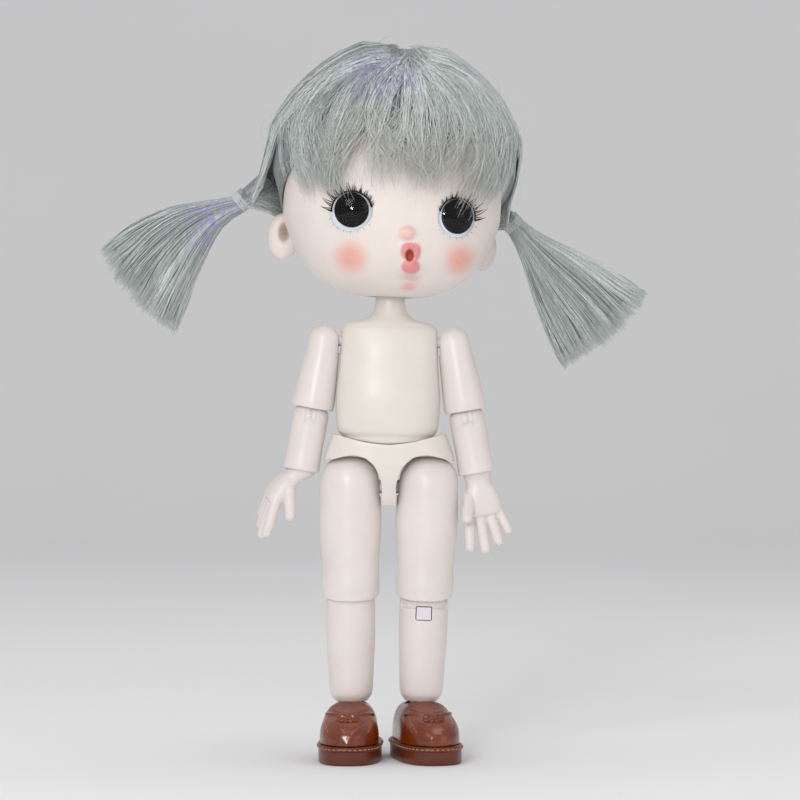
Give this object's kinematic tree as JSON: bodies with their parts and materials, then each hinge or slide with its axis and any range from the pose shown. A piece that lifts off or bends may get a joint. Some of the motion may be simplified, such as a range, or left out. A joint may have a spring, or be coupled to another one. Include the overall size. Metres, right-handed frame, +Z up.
{
  "type": "ball jointed doll",
  "caption": "Small standing ball jointed doll with a shell-built jointed body, large set-in eyes, two gathered side tails of hair and moulded shoes.",
  "frame": {"origin": "middle of the overall box in X and Y, on the plane of the soles", "axes": "+Z up the standing doll, the doll faces -Y, its own left side is at +X"},
  "size_m": [0.1234, 0.052, 0.1578],
  "materials": {
    "limb_plastic": "satin skin-toned plastic",
    "body_plastic": "satin, slightly yellowed plastic",
    "face_plastic": "matt plastic with a light blush",
    "peg_plastic": "smooth pale plastic",
    "eye_white": "glossy cool white",
    "eye_dark": "near black",
    "eye_clear": "clear polished acrylic",
    "lash_fibre": "dark synthetic fibre",
    "hair_fibre": "silky silver-grey synthetic fibre",
    "tie_thread": "wound thread",
    "shoe_upper": "glossy red-brown moulded shoe",
    "shoe_sole": "duller red-brown sole"
  },
  "bodies": {
    "pelvis": {"pelvis_front": "body_plastic", "pelvis_back": "body_plastic"},
    "waist_peg": {"waist_peg": "peg_plastic"},
    "torso": {"torso_front": "body_plastic", "torso_back": "body_plastic"},
    "neck_peg": {"neck_peg": "peg_plastic"},
    "head": {"head_face": "face_plastic", "head_back": "face_plastic", "left_eye_white": "eye_white", "right_eye_white": "eye_white", "left_eye_iris": "eye_dark", "right_eye_iris": "eye_dark", "left_eye_dome": "eye_clear", "right_eye_dome": "eye_clear", "left_eyelashes": "lash_fibre", "right_eyelashes": "lash_fibre", "hair_cap": "hair_fibre", "hair_fringe": "hair_fibre", "left_side_tail": "hair_fibre", "right_side_tail": "hair_fibre", "left_hair_tie": "tie_thread", "right_hair_tie": "tie_thread"},
    "left_shoulder_joint": {"left_shoulder_joint": "peg_plastic"},
    "left_upper_arm": {"left_upper_arm_front": "limb_plastic", "left_upper_arm_back": "limb_plastic"},
    "left_elbow_joint": {"left_elbow_joint": "peg_plastic"},
    "left_forearm": {"left_forearm": "limb_plastic"},
    "left_wrist_peg": {"left_wrist_peg": "peg_plastic"},
    "left_hand": {"left_hand": "limb_plastic"},
    "right_shoulder_joint": {"right_shoulder_joint": "peg_plastic"},
    "right_upper_arm": {"right_upper_arm_front": "limb_plastic", "right_upper_arm_back": "limb_plastic"},
    "right_elbow_joint": {"right_elbow_joint": "peg_plastic"},
    "right_forearm": {"right_forearm": "limb_plastic"},
    "right_wrist_peg": {"right_wrist_peg": "peg_plastic"},
    "right_hand": {"right_hand": "limb_plastic"},
    "left_hip_joint": {"left_hip_joint": "peg_plastic"},
    "left_thigh": {"left_thigh_front": "limb_plastic", "left_thigh_back": "limb_plastic"},
    "left_knee_joint": {"left_knee_joint": "peg_plastic"},
    "left_calf": {"left_calf_front": "limb_plastic", "left_calf_back": "limb_plastic", "left_knee_key": "peg_plastic"},
    "left_ankle_joint": {"left_ankle_joint": "peg_plastic"},
    "left_foot": {"left_foot": "limb_plastic", "left_shoe_upper": "shoe_upper", "left_shoe_sole": "shoe_sole"},
    "right_hip_joint": {"right_hip_joint": "peg_plastic"},
    "right_thigh": {"right_thigh_front": "limb_plastic", "right_thigh_back": "limb_plastic"},
    "right_knee_joint": {"right_knee_joint": "peg_plastic"},
    "right_calf": {"right_calf_front": "limb_plastic", "right_calf_back": "limb_plastic"},
    "right_ankle_joint": {"right_ankle_joint": "peg_plastic"},
    "right_foot": {"right_foot": "limb_plastic", "right_shoe_upper": "shoe_upper", "right_shoe_sole": "shoe_sole"}
  },
  "joints": [
    {"name": "waist_turn", "type": "hinge", "parent": "pelvis", "child": "waist_peg", "pos_m": [0.00284, -0.0009, 0.0895], "axis": [0, 0, 1], "range_deg": [-25, 25]},
    {"name": "waist_bend", "type": "hinge", "parent": "waist_peg", "child": "torso", "pos_m": [0.00284, -0.0009, 0.0895], "axis": [1, 0, 0], "range_deg": [-5, 5]},
    {"name": "head_turn", "type": "hinge", "parent": "torso", "child": "neck_peg", "pos_m": [0.00319, -0.0009, 0.1047], "axis": [0.0227, 0, 0.9997], "range_deg": [-40, 40]},
    {"name": "head_nod", "type": "hinge", "parent": "neck_peg", "child": "head", "pos_m": [0.00319, -0.0009, 0.1047], "axis": [0.9863, 0.1564, -0.0521], "range_deg": [-12, 12]},
    {"name": "left_shoulder_swing", "type": "hinge", "parent": "torso", "child": "left_shoulder_joint", "pos_m": [0.01719, -0.0009, 0.09158], "axis": [-0.9997, 0, 0.0227], "range_deg": [-40, 90]},
    {"name": "left_shoulder_raise", "type": "hinge", "parent": "left_shoulder_joint", "child": "left_upper_arm", "pos_m": [0.01719, -0.0009, 0.09158], "axis": [0, -1, 0], "range_deg": [0, 65]},
    {"name": "left_elbow_turn", "type": "hinge", "parent": "left_upper_arm", "child": "left_elbow_joint", "pos_m": [0.0202, -0.0009, 0.07454], "axis": [-0.1736, 0, 0.9848], "range_deg": [-25, 45]},
    {"name": "left_elbow_bend", "type": "hinge", "parent": "left_elbow_joint", "child": "left_forearm", "pos_m": [0.0202, -0.0009, 0.07454], "axis": [-0.9848, 0, -0.1736], "range_deg": [0, 55]},
    {"name": "left_wrist_turn", "type": "hinge", "parent": "left_forearm", "child": "left_wrist_peg", "pos_m": [0.02216, -0.0009, 0.06341], "axis": [-0.1736, 0, 0.9848], "range_deg": [-20, 60]},
    {"name": "left_wrist_bend", "type": "hinge", "parent": "left_wrist_peg", "child": "left_hand", "pos_m": [0.02216, -0.0009, 0.06341], "axis": [-0.9848, 0, -0.1736], "range_deg": [-20, 20]},
    {"name": "right_shoulder_swing", "type": "hinge", "parent": "torso", "child": "right_shoulder_joint", "pos_m": [-0.0114, -0.0009, 0.09222], "axis": [-0.9997, 0, 0.0227], "range_deg": [-40, 90]},
    {"name": "right_shoulder_raise", "type": "hinge", "parent": "right_shoulder_joint", "child": "right_upper_arm", "pos_m": [-0.0114, -0.0009, 0.09222], "axis": [0, 1, 0], "range_deg": [0, 65]},
    {"name": "right_elbow_turn", "type": "hinge", "parent": "right_upper_arm", "child": "right_elbow_joint", "pos_m": [-0.01452, -0.0009, 0.07521], "axis": [-0.1805, 0, -0.9836], "range_deg": [-45, 45]},
    {"name": "right_elbow_bend", "type": "hinge", "parent": "right_elbow_joint", "child": "right_forearm", "pos_m": [-0.01452, -0.0009, 0.07521], "axis": [-0.9836, 0, 0.1805], "range_deg": [0, 55]},
    {"name": "right_wrist_turn", "type": "hinge", "parent": "right_forearm", "child": "right_wrist_peg", "pos_m": [-0.01656, -0.0009, 0.06409], "axis": [-0.1805, 0, -0.9836], "range_deg": [-60, 60]},
    {"name": "right_wrist_bend", "type": "hinge", "parent": "right_wrist_peg", "child": "right_hand", "pos_m": [-0.01656, -0.0009, 0.06409], "axis": [0, 1, 0], "range_deg": [-20, 2]},
    {"name": "left_hip_swing", "type": "hinge", "parent": "pelvis", "child": "left_hip_joint", "pos_m": [0.01144, -0.0009, 0.0598], "axis": [-1, 0, 0], "range_deg": [-30, 85]},
    {"name": "left_hip_spread", "type": "hinge", "parent": "left_hip_joint", "child": "left_thigh", "pos_m": [0.01144, -0.0009, 0.0598], "axis": [0, -1, 0], "range_deg": [0, 8]},
    {"name": "left_knee_turn", "type": "hinge", "parent": "left_thigh", "child": "left_knee_joint", "pos_m": [0.01072, -0.0009, 0.03801], "axis": [-0.0332, 0, -0.9994], "range_deg": [-9, 9]},
    {"name": "left_knee_bend", "type": "hinge", "parent": "left_knee_joint", "child": "left_calf", "pos_m": [0.01072, -0.0009, 0.03801], "axis": [0.9994, 0, -0.0332], "range_deg": [0, 78]},
    {"name": "left_ankle_turn", "type": "hinge", "parent": "left_calf", "child": "left_ankle_joint", "pos_m": [0.00989, -0.0009, 0.013], "axis": [0, 0, 1], "range_deg": [-8, 25]},
    {"name": "left_ankle_rock", "type": "hinge", "parent": "left_ankle_joint", "child": "left_foot", "pos_m": [0.00989, -0.0009, 0.013], "axis": [1, 0, 0], "range_deg": [-10, 12]},
    {"name": "right_hip_swing", "type": "hinge", "parent": "pelvis", "child": "right_hip_joint", "pos_m": [-0.00576, -0.0009, 0.0598], "axis": [-1, 0, 0], "range_deg": [-30, 85]},
    {"name": "right_hip_spread", "type": "hinge", "parent": "right_hip_joint", "child": "right_thigh", "pos_m": [-0.00576, -0.0009, 0.0598], "axis": [0, 1, 0], "range_deg": [0, 20]},
    {"name": "right_knee_turn", "type": "hinge", "parent": "right_thigh", "child": "right_knee_joint", "pos_m": [-0.00564, -0.0009, 0.038], "axis": [-0.0052, 0, 1], "range_deg": [-9, 9]},
    {"name": "right_knee_bend", "type": "hinge", "parent": "right_knee_joint", "child": "right_calf", "pos_m": [-0.00564, -0.0009, 0.038], "axis": [1, 0, 0.0052], "range_deg": [0, 78]},
    {"name": "right_ankle_turn", "type": "hinge", "parent": "right_calf", "child": "right_ankle_joint", "pos_m": [-0.00551, -0.0009, 0.013], "axis": [0, 0, -1], "range_deg": [-8, 25]},
    {"name": "right_ankle_rock", "type": "hinge", "parent": "right_ankle_joint", "child": "right_foot", "pos_m": [-0.00551, -0.0009, 0.013], "axis": [1, 0, 0], "range_deg": [-10, 12]}
  ]
}
